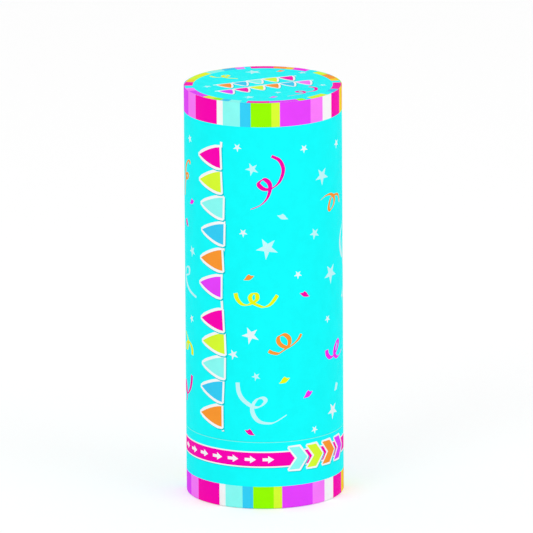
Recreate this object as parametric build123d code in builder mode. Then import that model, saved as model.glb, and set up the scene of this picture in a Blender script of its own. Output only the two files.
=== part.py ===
from build123d import *
import os
from itertools import combinations
from math import cos, pi, radians, sin, sqrt

# A hand-held twist popper: a board tube packed with paper confetti above a latched spring.
# A quarter turn of the base lines its latch key up with the slot in the piston. The spring
# then drives the piston up the barrel, and the confetti pushes the lid off.
# The base is drawn at the end of its turn, with the key lined up. Turned back, the key locks the piston.
# Frame: millimetres, +Z up the barrel, origin at the middle of the foot, front towards -Y.

# Overall sizes
OUTER_DIAMETER = 48.0  # over the printed paper
OVERALL_HEIGHT = 127.0
BASE_HEIGHT = 21.0  # the turning base, from the foot to the seam
SEAM_GAP = 0.2  # between the base and the barrel
TWIST_ANGLE = 90.0  # turn of the base that frees the piston

# Clearances
GLUE_GAP = 0.05  # between faces that are glued or pressed together
TURN_CLEARANCE = 0.35  # radial, round what turns or slides
THRUST_GAP = 0.3  # along the axis, between faces that turn on each other
LATCH_GAP = 0.15  # under the latch key's head
LOAD_GAP = 0.3  # between the pieces of the paper load
CUT_OVERRUN = 1.0  # how far a cut runs past the face that it opens

# Paper, board and the two turning tubes
PAPER_THICKNESS = 0.2
LABEL_SLIT = 0.15  # where the two ends of a wrap meet at the back
BAND_BUTT = 0.1  # between a label and the striped band beside it
TOP_BAND_HEIGHT = 7.5
BASE_BAND_HEIGHT = 7.0
HEM_WIDTH = 1.5  # of the base band, turned in under the foot
BARREL_WALL = 1.8
SLEEVE_WALL = 1.2
SLEEVE_GRIP = 13.0  # length of the sleeve glued into the barrel
FOOT_RECESS = 1.0
BOTTOM_DISC_THICKNESS = 1.0

# Lid
LID_THICKNESS = 0.5
LID_EDGE_GAP = 0.15  # between the lid's edge and the band round it
LID_PLUG_DEPTH = 2.0
HEADSPACE = 20.0  # free space between the load and the lid

# Bearing ring in the sleeve's lower end
RING_WIDTH = 3.1
RING_HEIGHT = 4.0

# Base plug, with snap fingers that hold it on the bearing ring, and the turn stop
PLUG_FLOOR = 3.0
FINGER_COUNT = 3
FINGER_ANGLE = 34.0  # width of a finger, in degrees
FINGER_WALL = 1.5
BARB_OVERLAP = 1.2  # of a finger's barb on the bearing ring
BARB_HEIGHT = 2.0
STOP_ANGLE = 14.0  # width of the stop lug, in degrees
STOP_SLACK = 2.0  # free angle at each end of its notch
STOP_WIDTH = 1.5
STOP_HEIGHT = 1.6  # of the lug, in the notch
BOSS_WALL = 1.4  # round the key's square foot

# Latch key and its screw
KEY_FOOT = 7.0  # side of the square foot
KEY_FOOT_HEIGHT = 4.0
KEY_POST_RADIUS = 3.0
KEY_SIDE_GAP = 2.4  # between the head's tips and the well's wall
KEY_HEAD_WIDTH = 5.6
KEY_HEAD_THICKNESS = 3.0
SLOT_CLEARANCE = 0.45  # round the key's head in the piston's slot
SCREW_RADIUS = 1.3
SCREW_REACH = 9.0  # length of the screw inside the key
SCREW_HEAD_RADIUS = 2.6
SCREW_HEAD_HEIGHT = 1.2
SCREW_SLOT_WIDTH = 0.7
SCREW_SLOT_DEPTH = 0.6

# Piston
SKIRT_HEIGHT = 5.0
SKIRT_WALL = 1.4
PLATE_THICKNESS = 1.6
WELL_DEPTH = 8.0
WELL_FLOOR = 2.4
WELL_WALL = 1.4
WELL_CLEARANCE = 1.6  # between the well and the spring round it
TAB_COUNT = 3
TAB_WIDTH = 6.0
TAB_DEPTH = 3.5  # below the skirt, in the sleeve's notches
TAB_CLEARANCE = 0.4
WAD_THICKNESS = 1.2

# Spring
WIRE_DIAMETER = 1.6
WIRE_SIDES = 4  # with its corners on the round wire
SPRING_CLEARANCE = 0.5  # between the coils and the fingers round them
CLOSED_HALF_TURNS = 1  # at each end
CLOSED_COIL_GAP = 0.6  # between the closed turns
OPEN_HALF_TURNS = 5
SPRING_END_GAP = 0.1
GAP_SAMPLES = 400  # points along the wire that its least gap is measured between

# Paper load: a streamer coil, then upright tissue slips, then piles of tissue squares
LOAD_CLEARANCE = 0.6  # between the load and the bore
COIL_WIDTH = 12.0
SLIP_THICKNESS = 1.5  # a sheaf of tissue slips
SLIP_GAP = 0.3
SLIP_RAGGED = 2.4  # how much the tops of the slips differ
SQUARE_THICKNESS = 0.8
SQUARE_GAP = 0.3
SQUARE_COUNT = 3  # in each pile
SQUARE_TURN = 25.0  # of each square on the one below it, in degrees
# Slip stacks as shares of the load's radius: middle in x, first leaf in y, width
SLIP_STACK_SHARES = (
    (0.0, -0.74, 1.18),
    (-0.46, -0.24, 0.86),
    (0.46, -0.24, 0.86),
    (0.0, 0.33, 1.18),
)
SLIP_STACK_COUNTS = (5, 6, 6, 5)
# Piles of squares as shares of the load's radius: x, y and side
SQUARE_PILE_SHARES = ((-0.42, -0.3, 0.46), (0.44, -0.16, 0.42), (-0.02, 0.46, 0.48))

# Radii, from the outside in
OUTER_RADIUS = OUTER_DIAMETER / 2
PAPER_BORE = OUTER_RADIUS - PAPER_THICKNESS
TUBE_RADIUS = PAPER_BORE - GLUE_GAP
BARREL_BORE = TUBE_RADIUS - BARREL_WALL
SLEEVE_RADIUS = BARREL_BORE - GLUE_GAP
SLEEVE_BORE = SLEEVE_RADIUS - SLEEVE_WALL
BASE_BORE = SLEEVE_RADIUS + TURN_CLEARANCE
PLUG_RADIUS = BASE_BORE - GLUE_GAP
RING_RADIUS = SLEEVE_BORE - GLUE_GAP
RING_BORE = RING_RADIUS - RING_WIDTH
STOP_RADIUS = RING_BORE + STOP_WIDTH
BARB_RADIUS = RING_BORE + BARB_OVERLAP
FINGER_RADIUS = RING_BORE - TURN_CLEARANCE
FINGER_BORE = FINGER_RADIUS - FINGER_WALL
SPRING_RADIUS = FINGER_BORE - SPRING_CLEARANCE - WIRE_DIAMETER / 2
WELL_RADIUS = SPRING_RADIUS - WIRE_DIAMETER / 2 - WELL_CLEARANCE
WELL_BORE = WELL_RADIUS - WELL_WALL
KEY_REACH = WELL_BORE - KEY_SIDE_GAP
BOSS_SIDE = KEY_FOOT + 2 * GLUE_GAP + 2 * BOSS_WALL
PISTON_RADIUS = BARREL_BORE - TURN_CLEARANCE
SKIRT_BORE = PISTON_RADIUS - SKIRT_WALL
LOAD_RADIUS = BARREL_BORE - LOAD_CLEARANCE

# Heights, from the foot up
TUBE_FOOT = PAPER_THICKNESS + GLUE_GAP
PLUG_BOTTOM = FOOT_RECESS + BOTTOM_DISC_THICKNESS + GLUE_GAP
PLUG_FLOOR_TOP = PLUG_BOTTOM + PLUG_FLOOR
RING_BOTTOM = PLUG_FLOOR_TOP + THRUST_GAP
RING_TOP = RING_BOTTOM + RING_HEIGHT
STOP_TOP = RING_BOTTOM + STOP_HEIGHT
BARB_BOTTOM = RING_TOP + THRUST_GAP
FINGER_TOP = BARB_BOTTOM + BARB_HEIGHT
BARREL_BOTTOM = BASE_HEIGHT + SEAM_GAP
SLEEVE_TOP = BARREL_BOTTOM + SLEEVE_GRIP
PISTON_BOTTOM = SLEEVE_TOP + THRUST_GAP
PLATE_BOTTOM = PISTON_BOTTOM + SKIRT_HEIGHT
PLATE_TOP = PLATE_BOTTOM + PLATE_THICKNESS
WELL_FLOOR_TOP = PLATE_TOP - WELL_DEPTH
KEY_HEAD_BOTTOM = WELL_FLOOR_TOP + LATCH_GAP
WAD_BOTTOM = PLATE_TOP + GLUE_GAP
LOAD_BOTTOM = WAD_BOTTOM + WAD_THICKNESS + LOAD_GAP
SLIP_BOTTOM = LOAD_BOTTOM + COIL_WIDTH + LOAD_GAP
RIM_TOP = OVERALL_HEIGHT - LID_THICKNESS
TOP_BAND_BOTTOM = OVERALL_HEIGHT - TOP_BAND_HEIGHT
LID_PLUG_TOP = RIM_TOP - GLUE_GAP
LOAD_TOP = LID_PLUG_TOP - LID_PLUG_DEPTH - HEADSPACE
SQUARE_BOTTOM = LOAD_TOP - SQUARE_COUNT * (SQUARE_THICKNESS + SQUARE_GAP)
SLIP_LENGTH = SQUARE_BOTTOM - LOAD_GAP - SLIP_RAGGED - SLIP_BOTTOM

os.makedirs("parts", exist_ok=True)


def save(piece, name):
    """Label a finished piece and write it under its own name."""
    piece.part.label = name
    export_step(piece.part, f"parts/{name}.step")


def radial_plane(angle):
    """The half-plane through the axis at an angle in degrees: x runs outwards and y runs up."""
    turn = radians(angle)
    return Plane(origin=(0, 0, 0), x_dir=(cos(turn), sin(turn), 0), z_dir=(sin(turn), -cos(turn), 0))


def ring_section(bore, radius, bottom, top):
    """A rectangle of the half-plane, between two radii and two heights."""
    with Locations(((bore + radius) / 2, (bottom + top) / 2)):
        Rectangle(radius - bore, top - bottom)


def back_slit(bottom, top):
    """Cut the joint of a paper wrap, at the back of the popper."""
    with Locations((0, OUTER_RADIUS, (bottom + top) / 2)):
        Box(LABEL_SLIT, 2 * OUTER_RADIUS - 2 * BASE_BORE, top - bottom + CUT_OVERRUN, mode=Mode.SUBTRACT)


# Barrel: board tube, printed label and striped band

with BuildPart() as barrel_tube:
    with BuildSketch(Plane.XZ):
        ring_section(BARREL_BORE, TUBE_RADIUS, BARREL_BOTTOM, RIM_TOP)
    revolve(axis=Axis.Z)
save(barrel_tube, "barrel_tube")

with BuildPart() as barrel_label:
    with BuildSketch(Plane.XZ):
        ring_section(PAPER_BORE, OUTER_RADIUS, BARREL_BOTTOM, TOP_BAND_BOTTOM - BAND_BUTT)
    revolve(axis=Axis.Z)
    back_slit(BARREL_BOTTOM, TOP_BAND_BOTTOM)
save(barrel_label, "barrel_label")

with BuildPart() as top_edge_band:
    with BuildSketch(Plane.XZ):
        ring_section(PAPER_BORE, OUTER_RADIUS, TOP_BAND_BOTTOM, OVERALL_HEIGHT)
    revolve(axis=Axis.Z)
    back_slit(TOP_BAND_BOTTOM, OVERALL_HEIGHT)
save(top_edge_band, "top_edge_band")

# Sleeve: board tube glued into the barrel, which the base turns on. Its notches hold the piston's tabs.

with BuildPart() as coupler_sleeve:
    with BuildSketch(Plane.XZ):
        ring_section(SLEEVE_BORE, SLEEVE_RADIUS, RING_BOTTOM, SLEEVE_TOP)
    revolve(axis=Axis.Z)
    notch_depth = TAB_DEPTH + TAB_CLEARANCE
    with BuildSketch(Plane.XY.offset(SLEEVE_TOP - notch_depth)):
        with PolarLocations((SLEEVE_BORE + SLEEVE_RADIUS) / 2, TAB_COUNT):
            Rectangle(SLEEVE_WALL + CUT_OVERRUN, TAB_WIDTH + 2 * TAB_CLEARANCE)
    extrude(amount=notch_depth + CUT_OVERRUN, mode=Mode.SUBTRACT)
save(coupler_sleeve, "coupler_sleeve")

with BuildPart() as bearing_ring:
    with BuildSketch(Plane.XZ):
        ring_section(RING_BORE, RING_RADIUS, RING_BOTTOM, RING_TOP)
    revolve(axis=Axis.Z)
    # The notch in its underside that the base's stop lug travels in
    notch_wall = STOP_RADIUS + TURN_CLEARANCE
    notch_top = STOP_TOP + THRUST_GAP
    with BuildSketch(radial_plane(-TWIST_ANGLE - STOP_ANGLE / 2 - STOP_SLACK)):
        ring_section(RING_BORE - CUT_OVERRUN, notch_wall, RING_BOTTOM - CUT_OVERRUN, notch_top)
    revolve(axis=Axis.Z, revolution_arc=TWIST_ANGLE + STOP_ANGLE + 2 * STOP_SLACK, mode=Mode.SUBTRACT)
save(bearing_ring, "bearing_ring")

# Base: board tube, printed label, striped band turned in under the foot, and the bottom disc

with BuildPart() as base_tube:
    with BuildSketch(Plane.XZ):
        ring_section(BASE_BORE, TUBE_RADIUS, TUBE_FOOT, BASE_HEIGHT)
    revolve(axis=Axis.Z)
save(base_tube, "base_tube")

with BuildPart() as base_label:
    with BuildSketch(Plane.XZ):
        ring_section(PAPER_BORE, OUTER_RADIUS, BASE_BAND_HEIGHT + BAND_BUTT, BASE_HEIGHT)
    revolve(axis=Axis.Z)
    back_slit(BASE_BAND_HEIGHT, BASE_HEIGHT)
save(base_label, "base_label")

with BuildPart() as base_edge_band:
    with BuildSketch(Plane.XZ):
        ring_section(PAPER_BORE, OUTER_RADIUS, 0, BASE_BAND_HEIGHT)
        ring_section(OUTER_RADIUS - HEM_WIDTH, OUTER_RADIUS, 0, PAPER_THICKNESS)
    revolve(axis=Axis.Z)
save(base_edge_band, "base_edge_band")

with BuildPart() as bottom_disc:
    with BuildSketch(Plane.XY.offset(FOOT_RECESS)):
        Circle(PLUG_RADIUS)
    extrude(amount=BOTTOM_DISC_THICKNESS)
save(bottom_disc, "bottom_disc")

# Base plug: moulded floor with the snap fingers, the stop lug and the key's boss

with BuildPart() as base_plug:
    with BuildSketch(Plane.XY.offset(PLUG_BOTTOM)):
        Circle(PLUG_RADIUS)
    extrude(amount=PLUG_FLOOR)
    # Fingers that pass through the bearing ring, with sloped barbs over it
    for finger in range(FINGER_COUNT):
        middle = 360 * (finger + 1 / 2) / FINGER_COUNT
        with BuildSketch(radial_plane(middle - FINGER_ANGLE / 2)):
            with BuildLine():
                Polyline(
                    (FINGER_BORE, PLUG_FLOOR_TOP),
                    (FINGER_RADIUS, PLUG_FLOOR_TOP),
                    (FINGER_RADIUS, BARB_BOTTOM),
                    (BARB_RADIUS, BARB_BOTTOM),
                    (FINGER_RADIUS, FINGER_TOP),
                    (FINGER_BORE, FINGER_TOP),
                    close=True,
                )
            make_face()
        revolve(axis=Axis.Z, revolution_arc=FINGER_ANGLE)
    # Stop lug, which meets the ends of the bearing ring's notch
    with BuildSketch(radial_plane(-STOP_ANGLE / 2)):
        ring_section(RING_BORE, STOP_RADIUS, PLUG_FLOOR_TOP, STOP_TOP)
    revolve(axis=Axis.Z, revolution_arc=STOP_ANGLE)
    # Boss with a square socket for the key's foot
    with BuildSketch(Plane.XY.offset(PLUG_FLOOR_TOP)):
        Rectangle(BOSS_SIDE, BOSS_SIDE)
    extrude(amount=KEY_FOOT_HEIGHT)
    with BuildSketch(Plane.XY.offset(PLUG_FLOOR_TOP)):
        Rectangle(KEY_FOOT + 2 * GLUE_GAP, KEY_FOOT + 2 * GLUE_GAP)
    extrude(amount=KEY_FOOT_HEIGHT, mode=Mode.SUBTRACT)
    # Hole and head pocket of the screw
    with Locations(Location((0, 0, PLUG_BOTTOM), (180, 0, 0))):
        CounterBoreHole(
            radius=SCREW_RADIUS + GLUE_GAP,
            counter_bore_radius=SCREW_HEAD_RADIUS + TURN_CLEARANCE,
            counter_bore_depth=SCREW_HEAD_HEIGHT + GLUE_GAP,
        )
save(base_plug, "base_plug")

# Latch key: square foot, round post and a crosswise head that holds the piston down

with BuildPart() as latch_key:
    with BuildSketch(Plane.XY.offset(PLUG_FLOOR_TOP + GLUE_GAP)):
        Rectangle(KEY_FOOT, KEY_FOOT)
    extrude(amount=KEY_FOOT_HEIGHT)
    with BuildSketch(Plane.XY.offset(PLUG_FLOOR_TOP + GLUE_GAP)):
        Circle(KEY_POST_RADIUS)
    extrude(amount=KEY_HEAD_BOTTOM - PLUG_FLOOR_TOP - GLUE_GAP)
    with BuildSketch(Plane.XY.offset(KEY_HEAD_BOTTOM)):
        SlotOverall(2 * KEY_REACH, KEY_HEAD_WIDTH)
    extrude(amount=KEY_HEAD_THICKNESS)
    with Locations(Location((0, 0, PLUG_FLOOR_TOP + GLUE_GAP), (180, 0, 0))):
        Hole(SCREW_RADIUS + GLUE_GAP, depth=SCREW_REACH + CUT_OVERRUN)
save(latch_key, "latch_key")

with BuildPart() as latch_screw:
    with BuildSketch(Plane.XY.offset(PLUG_BOTTOM)):
        Circle(SCREW_HEAD_RADIUS)
    extrude(amount=SCREW_HEAD_HEIGHT)
    with BuildSketch(Plane.XY.offset(PLUG_BOTTOM)):
        Circle(SCREW_RADIUS)
    extrude(amount=PLUG_FLOOR + SCREW_REACH)
    with BuildSketch(Plane.XY.offset(PLUG_BOTTOM)):
        Rectangle(2 * SCREW_HEAD_RADIUS, SCREW_SLOT_WIDTH)
        Rectangle(SCREW_SLOT_WIDTH, 2 * SCREW_HEAD_RADIUS)
    extrude(amount=SCREW_SLOT_DEPTH, mode=Mode.SUBTRACT)
save(latch_screw, "latch_screw")

# Piston: moulded plate with a guiding skirt, tabs for the sleeve's notches and a well for the key's head

with BuildPart() as pusher_piston:
    with BuildSketch(Plane.XZ):
        ring_section(0, PISTON_RADIUS, PLATE_BOTTOM, PLATE_TOP)
        ring_section(SKIRT_BORE, PISTON_RADIUS, PISTON_BOTTOM, PLATE_TOP)
        ring_section(0, WELL_RADIUS, WELL_FLOOR_TOP - WELL_FLOOR, PLATE_TOP)
    revolve(axis=Axis.Z)
    with BuildSketch(Plane.XY.offset(WELL_FLOOR_TOP)):
        Circle(WELL_BORE)
    extrude(amount=WELL_DEPTH + CUT_OVERRUN, mode=Mode.SUBTRACT)
    # Slot that lets the key's head through once the base has turned
    with BuildSketch(Plane.XY.offset(WELL_FLOOR_TOP - WELL_FLOOR)):
        SlotOverall(2 * (KEY_REACH + SLOT_CLEARANCE), KEY_HEAD_WIDTH + 2 * SLOT_CLEARANCE)
    extrude(amount=WELL_FLOOR, mode=Mode.SUBTRACT)
    # Tabs that keep the piston from turning with the base
    with BuildSketch(Plane.XY.offset(PISTON_BOTTOM - TAB_DEPTH)):
        with PolarLocations((SKIRT_BORE + PISTON_RADIUS) / 2, TAB_COUNT):
            Rectangle(SKIRT_WALL + CUT_OVERRUN, TAB_WIDTH)
        Circle(PISTON_RADIUS, mode=Mode.INTERSECT)
        Circle(SKIRT_BORE, mode=Mode.SUBTRACT)
    extrude(amount=TAB_DEPTH)
save(pusher_piston, "pusher_piston")

with BuildPart() as piston_wad:
    with BuildSketch(Plane.XY.offset(WAD_BOTTOM)):
        Circle(PISTON_RADIUS - GLUE_GAP)
    extrude(amount=WAD_THICKNESS)
save(piston_wad, "piston_wad")

# Spring, as it is held compressed between the base plug's floor and the piston's plate


def spring_heights():
    """The wire's height at each half turn: closed turns at both ends and even open turns between."""
    start = PLUG_FLOOR_TOP + SPRING_END_GAP + WIRE_DIAMETER / 2
    end = PLATE_BOTTOM - SPRING_END_GAP - WIRE_DIAMETER / 2
    closed_rise = (WIRE_DIAMETER + CLOSED_COIL_GAP) / 2
    open_rise = (end - start - 2 * CLOSED_HALF_TURNS * closed_rise) / OPEN_HALF_TURNS
    closed_rises = CLOSED_HALF_TURNS * [closed_rise]
    rises = closed_rises + OPEN_HALF_TURNS * [open_rise] + closed_rises
    heights = [start]
    for rise in rises:
        heights.append(heights[-1] + rise)
    return heights


def spring_knots(heights):
    """The wire's point and direction at each half turn."""
    knots = []
    for k, height in enumerate(heights):
        before, after = heights[max(k - 1, 0)], heights[min(k + 1, len(heights) - 1)]
        slope = (after - before) / (pi * (min(k + 1, len(heights) - 1) - max(k - 1, 0)))
        turn = k * pi
        point = Vector(SPRING_RADIUS * cos(turn), SPRING_RADIUS * sin(turn), height)
        along = Vector(-SPRING_RADIUS * sin(turn), SPRING_RADIUS * cos(turn), slope)
        knots.append((point, along.normalized()))
    return knots


def biarc_middle(start, start_along, end, end_along):
    """Where the two tangent arcs between two knots meet, with equal handles at both knots."""
    chord = end - start
    both = start_along + end_along
    square = 2 * (1 - start_along.dot(end_along))
    cross = 2 * chord.dot(both)
    handle = (-cross + sqrt(cross * cross + 4 * square * chord.dot(chord))) / (2 * square)
    return (start + end + (start_along - end_along) * handle) / 2


def least_gap(points, half_turns):
    """The least free distance between points of the wire that lie over half a turn apart along it."""
    apart = len(points) / half_turns
    far = (q - p for (i, p), (j, q) in combinations(enumerate(points), 2) if j - i > apart)
    return min(v.length for v in far) - WIRE_DIAMETER


knots = spring_knots(spring_heights())
with BuildPart() as main_spring:
    with BuildLine() as wire_line:
        for (start, start_along), (end, end_along) in zip(knots, knots[1:]):
            middle = biarc_middle(start, start_along, end, end_along)
            first_arc = TangentArc(start, middle, tangent=start_along)
            TangentArc(middle, end, tangent=first_arc % 1)
    with BuildSketch(Plane(origin=knots[0][0], x_dir=(0, 0, 1), z_dir=knots[0][1])):
        RegularPolygon(WIRE_DIAMETER / 2, WIRE_SIDES)
    sweep(path=wire_line.wires()[0])
save(main_spring, "main_spring")
wire_points = [wire_line.wires()[0] @ (i / GAP_SAMPLES) for i in range(GAP_SAMPLES + 1)]
wire_gap = least_gap(wire_points, OPEN_HALF_TURNS + 2 * CLOSED_HALF_TURNS)
print("spring: least gap", round(wire_gap, 2), "mm")

# Paper load: a tightly wound streamer, sheaves of tissue slips and piles of squares

with BuildPart() as streamer_coil:
    with BuildSketch(Plane.XY.offset(LOAD_BOTTOM)):
        Circle(LOAD_RADIUS)
    extrude(amount=COIL_WIDTH)
save(streamer_coil, "streamer_coil")

with BuildPart() as tissue_slips:
    for (x_share, y_share, width_share), count in zip(SLIP_STACK_SHARES, SLIP_STACK_COUNTS):
        for leaf in range(count):
            length = SLIP_LENGTH + SLIP_RAGGED * (leaf * 2 % 5) / 4
            y = y_share * LOAD_RADIUS + leaf * (SLIP_THICKNESS + SLIP_GAP)
            with Locations((x_share * LOAD_RADIUS, y, SLIP_BOTTOM + length / 2)):
                Box(width_share * LOAD_RADIUS, SLIP_THICKNESS, length)
save(tissue_slips, "tissue_slips")

with BuildPart() as tissue_squares:
    for x_share, y_share, side_share in SQUARE_PILE_SHARES:
        side = side_share * LOAD_RADIUS
        for square in range(SQUARE_COUNT):
            height = SQUARE_BOTTOM + square * (SQUARE_THICKNESS + SQUARE_GAP) + SQUARE_THICKNESS / 2
            with Locations((x_share * LOAD_RADIUS, y_share * LOAD_RADIUS, height)):
                Box(side, side, SQUARE_THICKNESS, rotation=(0, 0, square * SQUARE_TURN))
save(tissue_squares, "tissue_squares")

# Lid: printed disc on the barrel's rim, with a plug that centres it in the mouth

with BuildPart() as lid_disc:
    with BuildSketch(Plane.XY.offset(RIM_TOP)):
        Circle(PAPER_BORE - LID_EDGE_GAP)
    extrude(amount=LID_THICKNESS)
save(lid_disc, "lid_disc")

with BuildPart() as lid_plug:
    with BuildSketch(Plane.XY.offset(LID_PLUG_TOP)):
        Circle(BARREL_BORE - TURN_CLEARANCE)
    extrude(amount=-LID_PLUG_DEPTH)
save(lid_plug, "lid_plug")
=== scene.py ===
import math
import random
from itertools import accumulate, product

import bpy
from mathutils import Matrix, Vector
from mathutils.geometry import delaunay_2d_cdt


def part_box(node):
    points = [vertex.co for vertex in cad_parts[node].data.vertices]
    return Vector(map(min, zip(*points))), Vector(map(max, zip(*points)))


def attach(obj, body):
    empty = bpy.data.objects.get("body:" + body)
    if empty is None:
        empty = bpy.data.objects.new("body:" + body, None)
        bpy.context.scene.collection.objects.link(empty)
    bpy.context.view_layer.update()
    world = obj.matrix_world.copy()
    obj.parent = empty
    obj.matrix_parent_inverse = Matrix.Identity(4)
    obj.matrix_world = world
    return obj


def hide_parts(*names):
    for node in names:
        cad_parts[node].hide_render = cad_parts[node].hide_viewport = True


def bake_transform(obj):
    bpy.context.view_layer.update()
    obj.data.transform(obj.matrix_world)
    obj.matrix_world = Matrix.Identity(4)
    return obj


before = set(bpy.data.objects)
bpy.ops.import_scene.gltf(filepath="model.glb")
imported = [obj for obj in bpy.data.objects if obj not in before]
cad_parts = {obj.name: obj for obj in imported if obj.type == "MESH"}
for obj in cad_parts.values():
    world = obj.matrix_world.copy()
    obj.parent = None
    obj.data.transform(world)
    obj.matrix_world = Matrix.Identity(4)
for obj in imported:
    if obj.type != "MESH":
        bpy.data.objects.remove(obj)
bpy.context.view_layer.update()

# A twist popper: printed paper on board tubes, a printed lid, and a spring and a paper load inside.
# Lengths are millimetres until a mesh is made. The materials' patterns and the stage are in metres.
# Angles on the wall are degrees to the right of its front, which is towards -Y.
MM = 0.001
UP = Vector((0.0, 0.0, 1.0))
PAPER = 0.2  # thickness of the printed wraps
SLIT = 0.06  # between one printed sheet and the next
WRAP_END = 0.02  # from a wrap's end to the middle of its joint, at the back


def span(node):
    """A node's lowest and highest point along the axis and its outer radius."""
    low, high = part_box(node)
    return low[2] / MM, high[2] / MM, high[0] / MM


RADIUS = span("barrel_label")[2]  # of the printed wall
DEGREE = math.radians(1) * RADIUS  # of arc on that wall
HALF_WRAP = math.pi * RADIUS - WRAP_END


def new_object(name, data):
    """A new object in the scene."""
    obj = bpy.data.objects.new(name, data)
    bpy.context.collection.objects.link(obj)
    return obj


def smooth_mesh(name, verts, polys, materials, slots):
    """A mesh with smooth faces from points in millimetres. slots give each face's material."""
    mesh = bpy.data.meshes.new(name)
    mesh.from_pydata([Vector(v) * MM for v in verts], [], polys)
    for material in materials:
        mesh.materials.append(material)
    mesh.polygons.foreach_set("material_index", slots)
    mesh.polygons.foreach_set("use_smooth", [True] * len(polys))
    return mesh


def stand_for(piece, body, node):
    """Let a piece ride on a body in place of a node, which is hidden."""
    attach(piece, body)
    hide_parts(node)


# Materials

MIX_FACTOR, MIX_ONE, MIX_TWO, MIX_RESULT = 0, 6, 7, 2  # sockets of a Mix node that mixes colours
BOARD_STRIP, BOARD_LINE = 0.036, 0.0004  # rise of the wound strip in a turn, and width of its edge's line


def linear(colour):
    """An sRGB colour of 0 to 255 as the linear colour that a shader takes."""
    shares = [c / 255 for c in colour]
    return [c / 12.92 if c <= 0.04045 else ((c + 0.055) / 1.055) ** 2.4 for c in shares]


def start_material(name):
    """A new material with its node tree and its shader."""
    mat = bpy.data.materials.new(name)
    mat.use_nodes = True
    return mat, mat.node_tree, mat.node_tree.nodes["Principled BSDF"]


def place_in(tree):
    """The place on a piece, in its own metres."""
    return tree.nodes.new("ShaderNodeTexCoord").outputs["Object"]


def noise_of(tree, scale, detail, squeeze=None):
    """A noise pattern, squeezed upwards by a factor if asked."""
    place = place_in(tree)
    if squeeze:
        mapping = tree.nodes.new("ShaderNodeMapping")
        mapping.inputs["Scale"].default_value = (1.0, 1.0, squeeze)
        tree.links.new(place, mapping.inputs["Vector"])
        place = mapping.outputs["Vector"]
    noise = tree.nodes.new("ShaderNodeTexNoise")
    noise.inputs["Scale"].default_value = scale
    noise.inputs["Detail"].default_value = detail
    tree.links.new(place, noise.inputs["Vector"])
    return noise.outputs["Fac"]


def ranged(tree, value, low, high, start=0.3, end=0.7):
    """What goes from low to high as the value goes from start to end."""
    node = tree.nodes.new("ShaderNodeMapRange")
    node.inputs["From Min"].default_value = start
    node.inputs["From Max"].default_value = end
    node.inputs["To Min"].default_value = low
    node.inputs["To Max"].default_value = high
    tree.links.new(value, node.inputs["Value"])
    return node.outputs["Result"]


def maths(tree, operation, one, two):
    """Two values put together. Each is a number or the output of a node."""
    node = tree.nodes.new("ShaderNodeMath")
    node.operation = operation
    for socket, value in zip(node.inputs, (one, two)):
        if isinstance(value, float):
            socket.default_value = value
        else:
            tree.links.new(value, socket)
    return node.outputs["Value"]


def coloured(tree, shader, pattern, colour, dark):
    """Give the surface a colour where the pattern is 0, and a dark share of it where the pattern is 1."""
    light = linear(colour)
    mix = tree.nodes.new("ShaderNodeMix")
    mix.data_type = "RGBA"
    mix.inputs[MIX_ONE].default_value = (*light, 1.0)
    mix.inputs[MIX_TWO].default_value = (*(c * dark for c in light), 1.0)
    tree.links.new(pattern, mix.inputs[MIX_FACTOR])
    tree.links.new(mix.outputs[MIX_RESULT], shader.inputs["Base Color"])


def bumped(tree, shader, height, strength, distance):
    """Give the surface the relief of a pattern."""
    bump = tree.nodes.new("ShaderNodeBump")
    bump.inputs["Strength"].default_value = strength
    bump.inputs["Distance"].default_value = distance
    tree.links.new(height, bump.inputs["Height"])
    tree.links.new(bump.outputs["Normal"], shader.inputs["Normal"])


def surface(name, colour, stain, dark, grain, rough, relief, inputs, spread=(0.3, 0.7)):
    """A material with two noise patterns, each by scale, detail and squeeze. The stain darkens the colour as
    it goes through the spread, and the grain takes the roughness from low to high. relief names the pattern
    that shows in the surface, with its strength and distance. inputs are constants of the shader."""
    mat, tree, shader = start_material(name)
    patterns = {"stain": noise_of(tree, *stain), "grain": noise_of(tree, *grain)}
    coloured(tree, shader, ranged(tree, patterns["stain"], 0.0, 1.0, *spread), colour, dark)
    tree.links.new(ranged(tree, patterns["grain"], *rough), shader.inputs["Roughness"])
    raised, strength, distance = relief
    bumped(tree, shader, patterns[raised], strength, distance)
    for socket, value in inputs.items():
        shader.inputs[socket].default_value = value
    return mat


def board_material(name, colour):
    """Spiral-wound board: fibres, and the thin line where each turn of the strip meets the next."""
    mat, tree, shader = start_material(name)
    fibre = noise_of(tree, scale=800, detail=6)
    apart = tree.nodes.new("ShaderNodeSeparateXYZ")
    tree.links.new(place_in(tree), apart.inputs["Vector"])
    turn = maths(tree, "ARCTAN2", apart.outputs["Y"], apart.outputs["X"])
    rise = maths(tree, "MULTIPLY", turn, BOARD_STRIP / (2 * math.pi))
    climb = maths(tree, "ADD", rise, apart.outputs["Z"])
    seam = maths(tree, "PINGPONG", climb, BOARD_STRIP / 2)
    line = ranged(tree, seam, low=1.0, high=0.0, start=0.0, end=BOARD_LINE)
    tint = maths(tree, "MAXIMUM", ranged(tree, fibre, low=0.0, high=0.7), line)
    coloured(tree, shader, tint, colour, dark=0.8)
    tree.links.new(ranged(tree, fibre, low=0.72, high=0.9), shader.inputs["Roughness"])
    shader.inputs["Specular IOR Level"].default_value = 0.2
    bumped(tree, shader, maths(tree, "SUBTRACT", fibre, line), strength=0.35, distance=0.0001)
    return mat


# Ink on coated paper: a slight mottle, a soft gloss and a fine grain
INK = {
    "stain": (260, 4), "spread": (0.35, 0.65), "dark": 0.965, "grain": (5200, 2), "rough": (0.5, 0.62),
    "relief": ("grain", 0.12, 0.00002), "inputs": {"Specular IOR Level": 0.03},
}
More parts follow.
